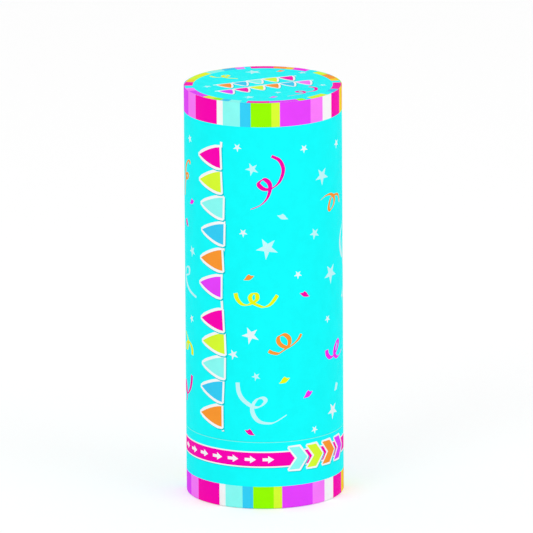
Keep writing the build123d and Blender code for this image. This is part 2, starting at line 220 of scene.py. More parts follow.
# Uncoated paper and card: fibres in the colour and in the surface
FIBRE = {"stain": (900, 6, 3.5), "grain": (120, 3), "inputs": {"Specular IOR Level": 0.2}}
# Moulded plastic: faint flow marks and a fine grain
PLASTIC = {
    "stain": (70, 3, 0.3), "dark": 0.93, "grain": (2600, 2), "rough": (0.38, 0.5),
    "relief": ("grain", 0.1, 0.00003),
    "inputs": {"Subsurface Weight": 0.08, "Subsurface Radius": (0.001, 0.001, 0.001)},
}
# Drawn or plated steel: a little tarnish and fine lines
STEEL = {
    "stain": (140, 4), "dark": 0.82, "grain": (1800, 3, 6.0), "relief": ("grain", 0.12, 0.00003),
    "inputs": {"Metallic": 1.0},
}
# Tissue paper: fibres in the colour, dull and softly crumpled
TISSUE = {
    "stain": (1500, 4, 2.5), "dark": 0.86, "grain": (180, 5), "rough": (0.7, 0.9),
    "relief": ("grain", 0.3, 0.0003), "inputs": {"Specular IOR Level": 0.15},
}
INK_COLOURS = {
    "cyan": (17, 252, 253), "shade": (10, 206, 214), "purple": (232, 66, 252), "pink": (253, 125, 252),
    "magenta": (253, 0, 178), "cerise": (251, 2, 166), "violet": (250, 42, 236), "white": (250, 250, 250),
    "pale": (138, 252, 244), "blue": (53, 207, 247), "lime": (152, 252, 0), "lemon": (217, 252, 52),
    "yellow": (236, 246, 16), "gold": (253, 212, 26), "orange": (253, 153, 50), "star": (196, 247, 250),
    "snow": (234, 247, 250),
}
TISSUE_INKS = ("magenta", "gold", "blue", "lime", "purple", "orange", "pale")
inks = {name: surface("ink_" + name, colour, **INK) for name, colour in INK_COLOURS.items()}
paper_back = surface(
    "paper_back", (240, 238, 232), dark=0.93, rough=(0.74, 0.86), relief=("stain", 0.2, 0.00008), **FIBRE
)
white_card = surface(
    "white_card", (238, 236, 230), dark=0.9, rough=(0.69, 0.81), relief=("stain", 0.3, 0.00008), **FIBRE
)
grey_board = board_material("grey_board", (196, 190, 178))
white_plastic = surface("white_plastic", (235, 235, 232), **PLASTIC)
pink_plastic = surface("pink_plastic", (240, 70, 170), **PLASTIC)
spring_steel = surface("spring_steel", (205, 206, 210), rough=(0.21, 0.37), **STEEL)
zinc_steel = surface("zinc_steel", (214, 216, 220), rough=(0.29, 0.45), **STEEL)
tissues = [surface("tissue_" + name, INK_COLOURS[name], **TISSUE) for name in TISSUE_INKS]

# Shapes of the print, as closed outlines of points. A sheet's x runs to the right and its y up.

STAR_CORNERS = 10
STAR_WAIST_SHARE, STAR_FOOT_SHARE = 0.38, 0.06  # of its radius, to the inner corners and added at the foot
PEN_THIN_SHARE = 0.26  # of a ribbon's width, where it runs along the pen
TAPER_SHARE = 0.25  # of a ribbon's length, over which an end narrows
CURL_STEPS, STRING_STEPS = 6, 2  # from one knot of a curl or a string to the next
SIDE_SHARE, CORNER_SHARE = 0.75, 0.5  # of a border, along a side's and the corner's normal
PENNANT_STEPS, PENNANT_CURVE, PENNANT_DROP_SHARE = 6, 1.5, 0.55
ARROW_HEAD_SHARE, ARROW_SHAFT_SHARE, ARROW_OPEN_SHARE = 0.52, 0.2, 0.8
CHEVRON_THICK_SHARE = 0.56
FLAKE_SHARES = (
    (-0.5, -0.5), (-0.15, -0.5), (0.12, -0.42), (0.32, -0.1), (0.5, 0.26),
    (0.2, 0.28), (0.0, 0.5), (-0.2, 0.18), (-0.32, -0.18),
)


def even(low, high, count):
    """Values from low to high in even steps."""
    return [low + (high - low) * i / count for i in range(count + 1)]


def block(left, right, bottom, top):
    return [(left, bottom), (right, bottom), (right, top), (left, top)]


def moved(outline, dx, dy):
    return [(a + dx, b + dy) for a, b in outline]


def turned(outline, x, y, turn):
    """An outline turned round its zero point by some degrees, then moved to x, y."""
    c, s = math.cos(math.radians(turn)), math.sin(math.radians(turn))
    return [(x + c * a - s * b, y + s * a + c * b) for a, b in outline]


def star(x, y, radius, turn):
    """A slim five-pointed star, a little longer towards its foot."""
    points = []
    for k in range(STAR_CORNERS):
        angle = math.radians(90 + turn + 360 * k / STAR_CORNERS)
        reach = radius * (STAR_WAIST_SHARE if k % 2 else 1.0 - STAR_FOOT_SHARE * math.sin(angle))
        points.append((x + reach * math.cos(angle), y + reach * math.sin(angle)))
    return [points]


def between(p, q, r, s, t):
    """What goes from q to r as t goes from 0 to 1, smoothly on from p before them and to s after."""
    square = 2 * p - 5 * q + 4 * r - s
    cube = 3 * q - p - 3 * r + s
    return 0.5 * (2 * q + (r - p) * t + square * t * t + cube * t**3)


def smooth_line(knots, steps):
    """Points on a smooth curve through the knots."""
    knots = [knots[0], *knots, knots[-1]]
    line = []
    for four in zip(knots, knots[1:], knots[2:], knots[3:]):
        for i in range(steps):
            line.append(tuple(between(*values, i / steps) for values in zip(*four)))
    return line + [tuple(knots[-1])]


def ribbon(knots, width, pen=None, ends=(1.0, 1.0), steps=CURL_STEPS):
    """A curl of flat ribbon through the knots, as triangles. It is thin along the pen's angle, in degrees,
    and ends are the shares of its width at its two ends."""
    line = smooth_line(knots, steps)
    sides = []
    for i, (x, y) in enumerate(line):
        (x0, y0), (x1, y1) = line[max(i - 1, 0)], line[min(i + 1, len(line) - 1)]
        length = math.hypot(x1 - x0, y1 - y0) or 1.0
        t = i / (len(line) - 1)
        half = width / 2
        if pen is not None:
            across = abs(math.sin(math.atan2(y1 - y0, x1 - x0) - math.radians(pen)))
            half *= PEN_THIN_SHARE + (1 - PEN_THIN_SHARE) * across
        half *= ends[0] + (1 - ends[0]) * min(1.0, t / TAPER_SHARE)
        half *= ends[1] + (1 - ends[1]) * min(1.0, (1 - t) / TAPER_SHARE)
        sides.append((x, y, -(y1 - y0) / length * half, (x1 - x0) / length * half))
    pieces = []
    for (x, y, dx, dy), (u, v, du, dv) in zip(sides, sides[1:]):
        pieces.append([(x - dx, y - dy), (u - du, v - dv), (u + du, v + dv)])
        pieces.append([(x - dx, y - dy), (u + du, v + dv), (x + dx, y + dy)])
    return pieces


def flake(x, y, length, height, side):
    """A small bent slip of confetti. Its thin end is at the lower left, or the lower right if side is -1."""
    return [[(x + side * a * length, y + b * height) for a, b in FLAKE_SHARES]]


def grown(outline, amount):
    """A convex outline moved out by an amount on every side, with its sharp corners cut short."""
    count = len(outline)
    middle_x, middle_y = sum(x for x, _ in outline) / count, sum(y for _, y in outline) / count
    out = []
    for i, (x, y) in enumerate(outline):
        normals = []
        for (x0, y0), (x1, y1) in ((outline[i - 1], (x, y)), ((x, y), outline[(i + 1) % count])):
            length = math.hypot(x1 - x0, y1 - y0)
            nx, ny = (y1 - y0) / length, -(x1 - x0) / length
            if nx * (x - middle_x) + ny * (y - middle_y) < 0:
                nx, ny = -nx, -ny
            normals.append((nx, ny))
        mx, my = ((a + b) / 2 for a, b in zip(*normals))
        for nx, ny in normals:
            dx = SIDE_SHARE * nx + CORNER_SHARE * mx
            dy = SIDE_SHARE * ny + CORNER_SHARE * my
            out.append((x + amount * dx, y + amount * dy))
    return out


def bordered(outline, border, drop):
    """The white border of a shape and the soft shade that it drops, lowest first."""
    rim = grown(outline, border)
    return [("shade", [moved(rim, drop, -drop)]), ("white", [rim])]


def pennant(ink, x, y, turn, width, length, border):
    """A bordered bunting pennant. Its straight edge is at x, y and it points along turn, in degrees."""
    side = [(length * t, width / 2 * (1 - t**PENNANT_CURVE)) for t in even(0.0, 1.0, PENNANT_STEPS)]
    outline = turned([(a, -b) for a, b in side] + side[-2::-1], x, y, turn)
    return bordered(outline, border, border * PENNANT_DROP_SHARE) + [(ink, [outline])]


def arrow(x, y, length, height):
    """A plain arrow that points along +x from its tail, as its shaft and its head."""
    tip, head, half = x + length, length * ARROW_HEAD_SHARE, height * ARROW_SHAFT_SHARE
    shaft = block(x, tip - head * ARROW_OPEN_SHARE, y - half, y + half)
    return [shaft, [(tip - head, y - height / 2), (tip, y), (tip - head, y + height / 2)]]


def chevron(x, y, width, height):
    """A bent mark that points along +x, as its upper and its lower half, which are convex."""
    thick = width * CHEVRON_THICK_SHARE
    notch = width - thick
    upper = [(x, y + height / 2), (x + thick, y + height / 2), (x + width, y), (x + notch, y)]
    lower = [(x, y - height / 2), (x + notch, y), (x + width, y), (x + thick, y - height / 2)]
    return [upper, lower]


# Printed sheets: a flat drawing becomes the faces of one mesh and is wrapped to its place

FRONT, BACK, EDGE = range(3)  # sides of a sheet
MAP_LEFT, MAP_WIDTH = 0.01, 0.98  # of a sheet in its square map
MAP_ROWS = {FRONT: (0.17, 0.82), BACK: (0.01, 0.09), EDGE: (0.11, 0.02)}  # foot and height of each side there
LEAST_AREA = 1e-4  # of an outline that is drawn
MERGE = 1e-5  # distance within which two points of a drawing are one
WHOLE_HULL = 0  # triangles all over the hull of the points
BEND_STEP = 3  # degrees between the upright lines along which a wrap bends


def area_of(outline):
    """The area inside an outline, below zero if it runs clockwise."""
    return sum(a[0] * b[1] - a[1] * b[0] for a, b in zip(outline, outline[1:] + outline[:1])) / 2


def cut_flat(shapes, lines):
    """A drawing's points, and its faces as corners and ink. shapes are (ink, outlines) from the whole sheet
    up, and lines are where the sheet may bend."""
    points, edges, outlined, ink_of = [], [], [], []
    for ink, outlines in shapes:
        for outline in outlines:
            area = area_of(outline)
            if abs(area) < LEAST_AREA:
                continue
            outlined.append(list(range(len(points), len(points) + len(outline))))
            points += [Vector(p) for p in (outline if area > 0 else outline[::-1])]
            ink_of.append(ink)
    for line in lines:
        edges += [(len(points) + i, len(points) + i + 1) for i in range(len(line) - 1)]
        points += [Vector(p) for p in line]
    flat, _, cells, _, _, owners = delaunay_2d_cdt(points, edges, outlined, WHOLE_HULL, MERGE, True)
    faces = []
    for cell, own in zip(cells, owners):
        if 0 in own:
            a, b, c = (flat[i] for i in cell[:3])
            corners = list(cell) if (b - a).cross(c - a) >= 0 else list(reversed(cell))
            faces.append((corners, ink_of[max(own)]))
    return flat, faces


def closed_sheet(faces, names, count, inked_edge):
    """A closed sheet's polygons, and each one's material and side. A point behind is count points on, and the
    last material is the one behind. The cut edge has it too unless the edge is inked."""
    polys, slots, sides, border = [], [], [], {}
    behind = len(names)
    for corners, ink in faces:
        slot = names.index(ink)
        polys += [corners, [i + count for i in reversed(corners)]]
        slots += [slot, behind]
        sides += [FRONT, BACK]
        for i, j in zip(corners, corners[1:] + corners[:1]):
            if border.pop((j, i), None) is None:
                border[(i, j)] = slot
    for (i, j), slot in border.items():
        polys.append([j, i, i + count, j + count])
        slots.append(slot if inked_edge else behind)
        sides.append(EDGE)
    return polys, slots, sides


def printed(name, shapes, wrap, lines=(), depth=PAPER, back=paper_back, inked_edge=True):
    """One closed sheet of paper from a drawing. wrap gives a flat point's place and outward normal, depth is
    the sheet's thickness and back the material behind it."""
    flat, faces = cut_flat(shapes, lines)
    names = sorted({ink for _, ink in faces})
    count = len(flat)
    polys, slots, sides = closed_sheet(faces, names, count, inked_edge)
    wrapped = [wrap(*p) for p in flat]
    verts = [p for p, _ in wrapped] + [p - n * depth for p, n in wrapped]
    keep = sorted({i for poly in polys for i in poly})
    new = {old: k for k, old in enumerate(keep)}
    kept_polys = [[new[i] for i in poly] for poly in polys]
    materials = [inks[ink] for ink in names] + [back]
    mesh = smooth_mesh(name, [verts[i] for i in keep], kept_polys, materials, slots)
    across, along = zip(*shapes[0][1][0])
    left, wide, bottom, tall = min(across), max(across) - min(across), min(along), max(along) - min(along)
    bake = mesh.uv_layers.new(name="OFBake")
    normals = []
    for poly, corners, side in zip(mesh.polygons, polys, sides):
        foot, height = MAP_ROWS[side]
        for loop, i in zip(poly.loop_indices, corners):
            (x, y), normal = flat[i % count], wrapped[i % count][1]
            v = foot + height * (y - bottom) / tall
            if side == EDGE and i >= count:
                v += height
            bake.uv[loop].vector = (MAP_LEFT + MAP_WIDTH * (x - left) / wide, v)
            normals.append(normal if side == FRONT else -normal if side == BACK else poly.normal.copy())
    mesh.normals_split_custom_set(normals)
    mesh.validate()
    return new_object(name, mesh)


def outward(x):
    """The wall's normal at a distance x along it from the front."""
    return Vector((math.sin(x / RADIUS), -math.cos(x / RADIUS), 0.0))


def on_wall(x, y):
    """A point of a sheet that is wrapped round the tube, and its normal."""
    normal = outward(x)
    return normal * RADIUS + UP * y, normal


def wall_sheet(bottom, top):
    return block(-HALF_WRAP, HALF_WRAP, bottom, top)


def wall_lines(heights):
    """Upright lines all round, with a point at each height."""
    return [[(a * DEGREE, y) for y in heights] for a in range(-180 + BEND_STEP, 180, BEND_STEP)]


def on_degrees(knots, turn):
    """Points given as angle and height, turned by an angle and laid along the wall."""
    return [((a + turn) * DEGREE, y) for a, y in knots]


# Barrel label: stars, curls and flakes, and a string of pennants down its side

REPEATS = (0, 180, -180)  # turns of the pattern, which comes again half a turn further round
LABEL_STEPS, BASE_STEPS = 12, 4  # of a wrap's upright lines
# Ink, width, pen angle, shares of the width at both ends, and knots as angle and height
CURLS = (
    ("cerise", 1.45, 32, (0.7, 0.4), (
        (6, 110.5), (12, 109), (14.6, 106), (11.8, 102.5), (6.2, 100.5), (0.4, 100.3),
        (-3.5, 101.9), (0.5, 103.3), (4.8, 101.6), (3.4, 98), (-1.7, 95.4), (-9.4, 93.9))),
    ("orange", 1.25, 25, (0.4, 0.5), (
        (46.3, 94.9), (51.5, 95.8), (58, 95.8), (63, 94.4), (62.5, 92.4), (57.5, 90.9),
        (55.5, 92), (58.5, 94.6), (64.5, 95.1), (70.4, 94.4), (73, 91.9))),
    ("yellow", 1.35, 8, (1.0, 1.0), (
        (-21, 67.5), (-20, 65.8), (-16.6, 64.3), (-12.6, 64), (-8.6, 64.7), (-5.1, 65.9), (-5.4, 67.4),
        (-8.1, 67.6), (-10.2, 66.5), (-9, 65.1), (-5.5, 64.2), (-0.3, 63.5), (4.9, 64.4), (9.7, 67.1))),
    ("orange", 1.4, 28, (0.9, 0.9), (
        (3.1, 49.7), (5.9, 49.1), (10, 48.8), (13.3, 49.5), (16.7, 50.5), (18.6, 51.9), (18, 53.5),
        (14.6, 54.6), (10.9, 54.1), (10.1, 52.9), (11.7, 51.6), (15.4, 50.7), (19.2, 50.8), (24.9, 52.5),
        (27.9, 54.3))),
    ("star", 1.35, 25, (1.0, 0.6), (
        (-20, 39.5), (-19.2, 36.7), (-16.4, 34.5), (-11.1, 32.7), (-6.5, 32), (-2.2, 32.6), (0.6, 34.1),
        (-1.6, 35), (-5.9, 34.4), (-9.1, 32.1), (-8.1, 29.5), (-4.1, 27.6), (1.9, 27), (7.4, 27.3),
        (16.1, 29.4))),
    ("violet", 1.7, 20, (1.0, 0.5), (
        (52.2, 47.5), (52.7, 46.1), (56.3, 44.8), (61.5, 45), (67, 46.6), (69.3, 48.2),
        (67.4, 49.1), (63.2, 47.3), (62.6, 45.2), (66.5, 44), (72, 44.3), (77.6, 45.4))),
    ("orange", 1.5, 20, (0.8, 0.4), (
        (-67, 104.8), (-71, 105.4), (-77, 103), (-78, 100.4), (-74, 99.4), (-71.6, 100.6),
        (-75, 101), (-79, 98), (-81, 93.6))),
    ("star", 1.4, 25, (0.6, 0.7), (
        (-81, 68.6), (-78, 71.2), (-71, 71.8), (-71.5, 69.8), (-79, 68.6), (-77.5, 66.6),
        (-69.5, 64.8), (-59, 63.7))),
    ("yellow", 1.6, 5, (0.6, 1.0), (
        (-82.6, 50.8), (-74.4, 48.7), (-75.3, 46.8), (-78.1, 45.6), (-80.9, 45.9),
        (-79, 47.4), (-73.9, 48.4), (-69, 47.9), (-66.2, 46.6), (-66, 44.9))),
    ("cerise", 1.7, 20, (1.0, 0.5), (
        (-67, 38.4), (-68.2, 35.8), (-71.2, 33.5), (-77, 31.8), (-83, 32.4),
        (-86, 34.2), (-83.5, 35.2), (-80.2, 33.6), (-78.6, 31.4), (-79.6, 29.3))),
    ("star", 1.6, 20, (0.8, 0.4), (
        (93, 85.4), (84, 84.6), (76.5, 82), (74.5, 79), (77.5, 75.6), (84, 74),
        (90, 75.6), (90, 79), (84.5, 79.4), (82.5, 76.4), (86, 71.6), (95, 69))),
)
# Angle, height, radius and turn, by ink
STARS = {
    "star": (
        (47.8, 102.4, 2.9, 36), (2.5, 81.9, 3.5, 29), (57.5, 71.2, 3.3, 36), (82, 62, 2.2, 20),
        (-8.2, 106.5, 2.1, 24), (40, 85, 1.9, 24), (-64.6, 77.7, 1.9, 28), (-6.2, 41.7, 1.4, 24)),
    "snow": (
        (-19, 113, 1.4, 40), (31, 112, 1.4, 34), (-67.6, 112.5, 1.4, 20), (67.5, 110.8, 1.6, 26),
        (-15, 86.5, 1.4, 38), (25.5, 73, 1.4, 34), (-10, 54.6, 2.8, 24), (53.3, 57.2, 1.3, 30),
        (59.6, 27.9, 2.8, 31), (39, 23.6, 1.3, 40), (-66.5, 56.3, 1.4, 24), (-23.2, 48.2, 1.7, 24)),
}
# Ink, angle, height, length and height of the slip, and side of its thin end
FLAKES = (
    ("star", 14, 91.5, 3.5, 1.8, -1), ("orange", -11, 72.7, 3.4, 1.9, 1),
    ("cerise", 31, 66.6, 3.5, 1.9, -1), ("yellow", 14.6, 40.4, 3.5, 2.1, 1),
    ("violet", 33.4, 35.2, 3.5, 2.3, 1), ("cerise", -11, 24.2, 3.2, 2.0, -1),
    ("star", 65, 35, 2.6, 2.6, 1), ("violet", -64.7, 93.2, 3.2, 1.9, 1),
    ("cerise", -75.5, 85.8, 3.2, 2.4, -1), ("lemon", 88, 100, 2.8, 1.9, 1),
)
# Ink and height
PENNANTS = (
    ("orange", 28.2), ("blue", 36.0), ("pale", 43.6), ("lemon", 51.2), ("magenta", 58.4), ("purple", 68.8),
    ("orange", 77.2), ("blue", 85.4), ("pale", 93.6), ("lemon", 101.6), ("magenta", 109.2),
)
PENNANT, PENNANT_LEAN = (6.5, 8.6, 0.7), 3  # width, length and border, and degrees up or down at most
STRING_ANGLE, PENNANT_ANGLE = -31.2, -31.8
STRING_SWAY, STRING_WAVE = 1.4, 6.2  # degrees to each side, and rise for a radian of the wave
STRING_FOOT, STRING_TOP, STRING_RUNS, STRING_WIDTH = 23.6, 114.2, 30, 0.8
STRING_SHADE = (0.25, -0.2)  # how far its shade lies to the right and up


def sway(y):
    """How far the string swings to the right at a height, in degrees."""
    return STRING_SWAY * math.sin(y / STRING_WAVE)


def label_shapes(bottom, top):
    shapes = [("cyan", [wall_sheet(bottom, top)])]
    for turn in REPEATS:
        for ink, row in STARS.items():
            shapes += [(ink, star((a + turn) * DEGREE, *values)) for a, *values in row]
        shapes += [(ink, flake((a + turn) * DEGREE, *values)) for ink, a, *values in FLAKES]
        for ink, width, pen, ends, knots in CURLS:
            shapes.append((ink, ribbon(on_degrees(knots, turn), width, pen, ends)))
        knots = [(STRING_ANGLE + sway(y), y) for y in even(STRING_FOOT, STRING_TOP, STRING_RUNS)]
        string = on_degrees(knots, turn)
        shapes.append(("shade", ribbon(moved(string, *STRING_SHADE), STRING_WIDTH, steps=STRING_STEPS)))
        shapes.append(("white", ribbon(string, STRING_WIDTH, steps=STRING_STEPS)))
        for ink, y in PENNANTS:
            x = (PENNANT_ANGLE + sway(y) + turn) * DEGREE
            shapes += pennant(ink, x, y, 180 + PENNANT_LEAN * math.sin(y), *PENNANT)
    return shapes


low, high = span("base_label")[1] + SLIT, span("top_edge_band")[0]
bends = wall_lines(even(low, high, LABEL_STEPS))
label = printed("barrel_print", label_shapes(low, high), on_wall, bends)
stand_for(label, "barrel", "barrel_label")

# Base label: a magenta band with the arrows that show which way to turn

SEAM_HIGHLIGHT = 0.15  # painted highlight: a pale strip along the seam's edge, standing in for light on the paper's edge
BAND_LOW, BAND_HIGH, BAND_EDGE, BAND_SHADE = 13.0, 18.1, 0.4, 0.25
ARROW, ARROW_ANGLE, ARROW_PITCH, ARROW_COUNT = (3.5, 2.3), -81, 13.2, 7  # length and height first
CHEVRON, CHEVRON_ANGLE, CHEVRON_PITCH = (6.2, 7.0), 17.5, 14.5  # width and height first
CHEVRON_BORDER, CHEVRON_DROP = 0.55, 0.3
CHEVRON_INKS = ("pale", "lemon", "orange", "purple")


def base_shapes(bottom, top):
    shapes = [
        ("cyan", [wall_sheet(bottom, top)]),
        # Painted highlight: a pale strip along the top edge, where the seam catches the light
        ("pale", [wall_sheet(top - SEAM_HIGHLIGHT, top)]),
        ("shade", [wall_sheet(BAND_LOW - BAND_SHADE, BAND_LOW)]),
        ("white", [wall_sheet(BAND_LOW, BAND_HIGH)]),
        ("magenta", [wall_sheet(BAND_LOW + BAND_EDGE, BAND_HIGH - BAND_EDGE)]),
    ]
    middle = (BAND_LOW + BAND_HIGH) / 2
    for turn in REPEATS:
        for k in range(ARROW_COUNT):
            x = (ARROW_ANGLE + ARROW_PITCH * k + turn) * DEGREE
            shapes.append(("white", arrow(x, middle, *ARROW)))
        chevrons = []
        for k, ink in enumerate(CHEVRON_INKS):
            x = (CHEVRON_ANGLE + CHEVRON_PITCH * k + turn) * DEGREE
            chevrons.append((ink, chevron(x, middle, *CHEVRON)))
        for _, halves in chevrons:
            for half in halves:
                shapes += bordered(half, CHEVRON_BORDER, CHEVRON_DROP)
        shapes += chevrons
    return shapes


low, high = span("base_edge_band")[1], span("base_label")[1]
bends = wall_lines(even(low, high, BASE_STEPS))
base_print = printed("base_print", base_shapes(low, high), on_wall, bends)
stand_for(base_print, "base", "base_label")

# Striped bands at the mouth and the foot

# Ink and the angle at which the stripe ends. The stripes go on round the back to where they start.
STRIPES = (
    ("purple", -70), ("pink", -57.9), ("magenta", -35.5), ("white", -30.3), ("pale", -16.8), ("blue", -8.9),
    ("lime", 6.1), ("lemon", 12.3), ("purple", 36.9), ("pink", 48.8), ("white", 59.6), ("magenta", 74.8),
    ("gold", 84), ("orange", 96), ("lime", 111), ("lemon", 118), ("blue", 128), ("pale", 141), ("white", 147),
    ("purple", 168), ("magenta", 192), ("white", 198), ("orange", 210), ("gold", 219), ("lime", 234),
    ("lemon", 241), ("pale", 255), ("blue", 264),
)
HEM, FOLD, FOLD_STEPS = 1.5, 0.5, 5  # width of the hem under the foot, and radius and steps of its fold


def stripes(bottom, top):
    shapes = [("purple", [wall_sheet(bottom, top)])]
    starts = [STRIPES[-1][1] - 360] + [end for _, end in STRIPES]
    for start, (ink, end) in zip(starts, STRIPES):
        for turn in (0, -360):
            left, right = max((start + turn) * DEGREE, -HALF_WRAP), min((end + turn) * DEGREE, HALF_WRAP)
            if right > left:
                shapes.append((ink, [block(left, right, bottom, top)]))
    return shapes


low, high, _ = span("top_edge_band")
bends = wall_lines([low, high])
top_band = printed("top_band_print", stripes(low, high), on_wall, bends)
stand_for(top_band, "barrel", "top_edge_band")

# Paper from the band's top edge to the fold, to the fold's end and to the hem's edge
band_top = span("base_edge_band")[1]
fold_start = band_top - FOLD
fold_end = fold_start + FOLD * math.pi / 2
hem_end = fold_end + HEM - FOLD


def on_base_band(x, y):
    """A point of the foot's band and its normal. y falls from its top edge, round the fold and in."""
    out, down = outward(x), -y
    if down <= fold_start:
        return out * RADIUS + UP * (band_top - down), out
    if down <= fold_end:
        angle = (down - fold_start) / FOLD
        normal = out * math.cos(angle) - UP * math.sin(angle)
        return out * (RADIUS - FOLD) + UP * FOLD + normal * FOLD, normal
    return out * (RADIUS - FOLD - (down - fold_end)), -UP


folds = [-down for down in even(fold_start, fold_end, FOLD_STEPS)]
bends = wall_lines([0.0, *folds, -hem_end]) + [[(-HALF_WRAP, y), (HALF_WRAP, y)] for y in folds]
base_band = printed("base_band_print", stripes(-hem_end, 0.0), on_base_band, bends)
stand_for(base_band, "base", "base_edge_band")

# Lid: printed card with a border of coloured lengths

LID_RADIUS = RADIUS - PAPER - SLIT
ARC_STEP = 2.5  # degrees
BORDER_WIDTH, BORDER_START = 2.5, 190
BORDER_OVERRUN = 0.1  # past the lid's edge, which cuts it off
# Ink and length, as a share of them all
BORDER_SHARES = (
    ("pink", 9), ("purple", 21), ("lemon", 10), ("lime", 7), ("blue", 7), ("pale", 9), ("cyan", 5),
    ("magenta", 17), ("purple", 23), ("lime", 6), ("cyan", 5), ("lemon", 17), ("cyan", 9), ("blue", 10),
    ("magenta", 21), ("cyan", 6), ("gold", 7), ("orange", 15), ("lemon", 11), ("cyan", 8), ("violet", 13),
    ("gold", 6), ("orange", 10), ("magenta", 18), ("cyan", 5), ("pink", 7), ("blue", 11), ("pale", 15),
    ("yellow", 12), ("lemon", 13), ("gold", 8), ("magenta", 12), ("cyan", 8),
)
# Place, radius and turn
LID_STARS = (
    (-2.8, 16.4, 2.7, 20), (-16.8, -2, 1.4, 30), (12.1, 15.2, 1.5, 12),
    (18.2, -1, 1.3, 24), (4.6, -10.2, 1.3, 32), (-4.1, -16, 1.8, 14),
)
# As in FLAKES and CURLS, but in x and y
LID_FLAKES = (("orange", 5.4, 17.6, 2.8, 2.0, 1), ("violet", 3.2, -16, 2.8, 2.0, 1))
LID_CURLS = (
    ("yellow", 1.1, 5, (1.0, 1.0), (
        (-16, 11.4), (-14.4, 9.8), (-12, 9.8), (-10.4, 11.4), (-11, 12.6), (-12.2, 11.4), (-10.8, 9),
        (-7.6, 7.8))),
    ("cerise", 1.2, 22, (0.9, 0.3), (
        (14, -3), (16, -4.6), (15.8, -8), (13, -10), (10.6, -10), (10.6, -8.6), (12.4, -9.2), (12.2, -11.6),
        (7.4, -15.2))),
)
# Height of the string, place of the first pennant along it, and the pennants' inks
LID_STRINGS = (
    (6.2, -10.4, ("orange", "blue", "pale", "lemon", "magenta")),
    (-1.2, -13.2, ("purple", "magenta", "lemon", "orange", "blue", "pink")),
)
LID_TURN = 24  # of the strings, in degrees
LID_PENNANT, LID_PITCH = (4.2, 5.4, 0.5), 5.2  # width, length and border, and from one to the next
LID_STRING_END, LID_STRING_WIDTH, LID_STRING_RUNS = 3.4, 0.6, 16
LID_STRING_SAG, LID_STRING_WAVES = 0.5, 1.4  # height of its waves, and half waves from end to end


def arc(radius, start, end):
    """Points round the lid's middle, from one angle to another in degrees."""
    angles = even(math.radians(start), math.radians(end), max(2, int(abs(end - start) / ARC_STEP)))
    return [(radius * math.cos(a), radius * math.sin(a)) for a in angles]


def lid_border():
    shapes = []
    degrees = 360 / sum(share for _, share in BORDER_SHARES)
    outside, inside = LID_RADIUS + BORDER_OVERRUN, LID_RADIUS - BORDER_WIDTH
    start = BORDER_START
    for ink, share in BORDER_SHARES:
        end = start + share * degrees
        if ink != "cyan":
            shapes.append((ink, [arc(outside, start, end) + arc(inside, end, start)]))
        start = end
    return shapes


def lid_string(height, first, row):
    """A wavy string with its row of pennants, turned on the lid."""
    last = first + LID_PITCH * (len(row) - 1)

    def hung(along):
        wave = math.cos(LID_STRING_WAVES * (along - first) / (last - first) * math.pi)
        return turned([(along, height - LID_STRING_SAG * wave)], 0.0, 0.0, LID_TURN)[0]

    string = [hung(x) for x in even(first - LID_STRING_END, last + LID_STRING_END, LID_STRING_RUNS)]
    shapes = [("white", ribbon(string, LID_STRING_WIDTH, steps=STRING_STEPS))]
    for k, ink in enumerate(row):
        shapes += pennant(ink, *hung(first + LID_PITCH * k), LID_TURN - 90, *LID_PENNANT)
    return shapes


def lid_shapes():
    shapes = [("cyan", [arc(LID_RADIUS, 0, 360 - ARC_STEP)])] + lid_border()
    shapes += [("star", star(*values)) for values in LID_STARS]
    shapes += [(ink, ribbon(knots, width, pen, ends)) for ink, width, pen, ends, knots in LID_CURLS]
    shapes += [(ink, flake(*values)) for ink, *values in LID_FLAKES]
    for values in LID_STRINGS:
        shapes += lid_string(*values)
    return shapes


lid_foot, lid_top, _ = span("lid_disc")


def on_lid(x, y):
    return Vector((x, y, lid_top)), UP


lid_depth = lid_top - lid_foot
lid = printed("lid_print", lid_shapes(), on_lid, depth=lid_depth, back=white_card, inked_edge=False)
stand_for(lid, "lid", "lid_disc")

# Solid pieces: first the board tubes and the card discs

SEGMENTS = 128  # round a turned piece
WELD = 1e-7  # metres within which points on the axis become one
TURNED_SHARP, WIRE_SHARP, PAPER_SHARP = 35, 50, 40  # degrees between faces, from which an edge is sharp
# Name, node, body, a tube's wall, eased edge, material and slot
TURNED = (
    ("barrel_board", "barrel_tube", "barrel", 1.8, 0.1, grey_board, "tube_board"),
    ("base_board", "base_tube", "base", 1.5, 0.25, grey_board, "tube_board"),
    ("foot_card", "bottom_disc", "base", None, 0.08, white_card, "white_card"),
    ("wad_card", "piston_wad", "piston", None, 0.1, white_card, "white_card"),
    ("lid_plug_card", "lid_plug", "lid", None, 0.5, white_card, "white_card"),
)


def solid(name, verts, polys, materials, sharp, slots=None):
    """A smooth piece whose edges are sharp from an angle on. Without slots it has the first material."""
    mesh = smooth_mesh(name, verts, polys, materials, slots or [0] * len(polys))
    mesh.update()
    mesh.set_sharp_from_angle(angle=math.radians(sharp))
    return new_object(name, mesh)


def profile_of(radius, wall, low, high, edge):
    """The outline of a tube, or of a disc if it has no wall, as radius and height with eased corners."""
    outside = [(radius - edge, low), (radius, low + edge), (radius, high - edge), (radius - edge, high)]
    if wall is None:
        return [(0.0, low), *outside, (0.0, high)]
    inner = radius - wall
    return [(inner, low + edge), (inner + edge, low), *outside, (inner + edge, high), (inner, high - edge)]


def lathe(name, profile, material):
    """A closed round piece from an anticlockwise outline."""
    verts, polys = [], []
    count = len(profile)
    for k in range(SEGMENTS):
        turn = 2 * math.pi * k / SEGMENTS
        verts += [(r * math.sin(turn), -r * math.cos(turn), z) for r, z in profile]
        a, b = k * count, (k + 1) % SEGMENTS * count
        for i in range(count):
            j = (i + 1) % count
            if profile[i][0] or profile[j][0]:
                polys.append([a + i, b + i, b + j, a + j])
    piece = solid(name, verts, polys, [material], TURNED_SHARP)
    piece.modifiers.new("weld", "WELD").merge_threshold = WELD
    return piece


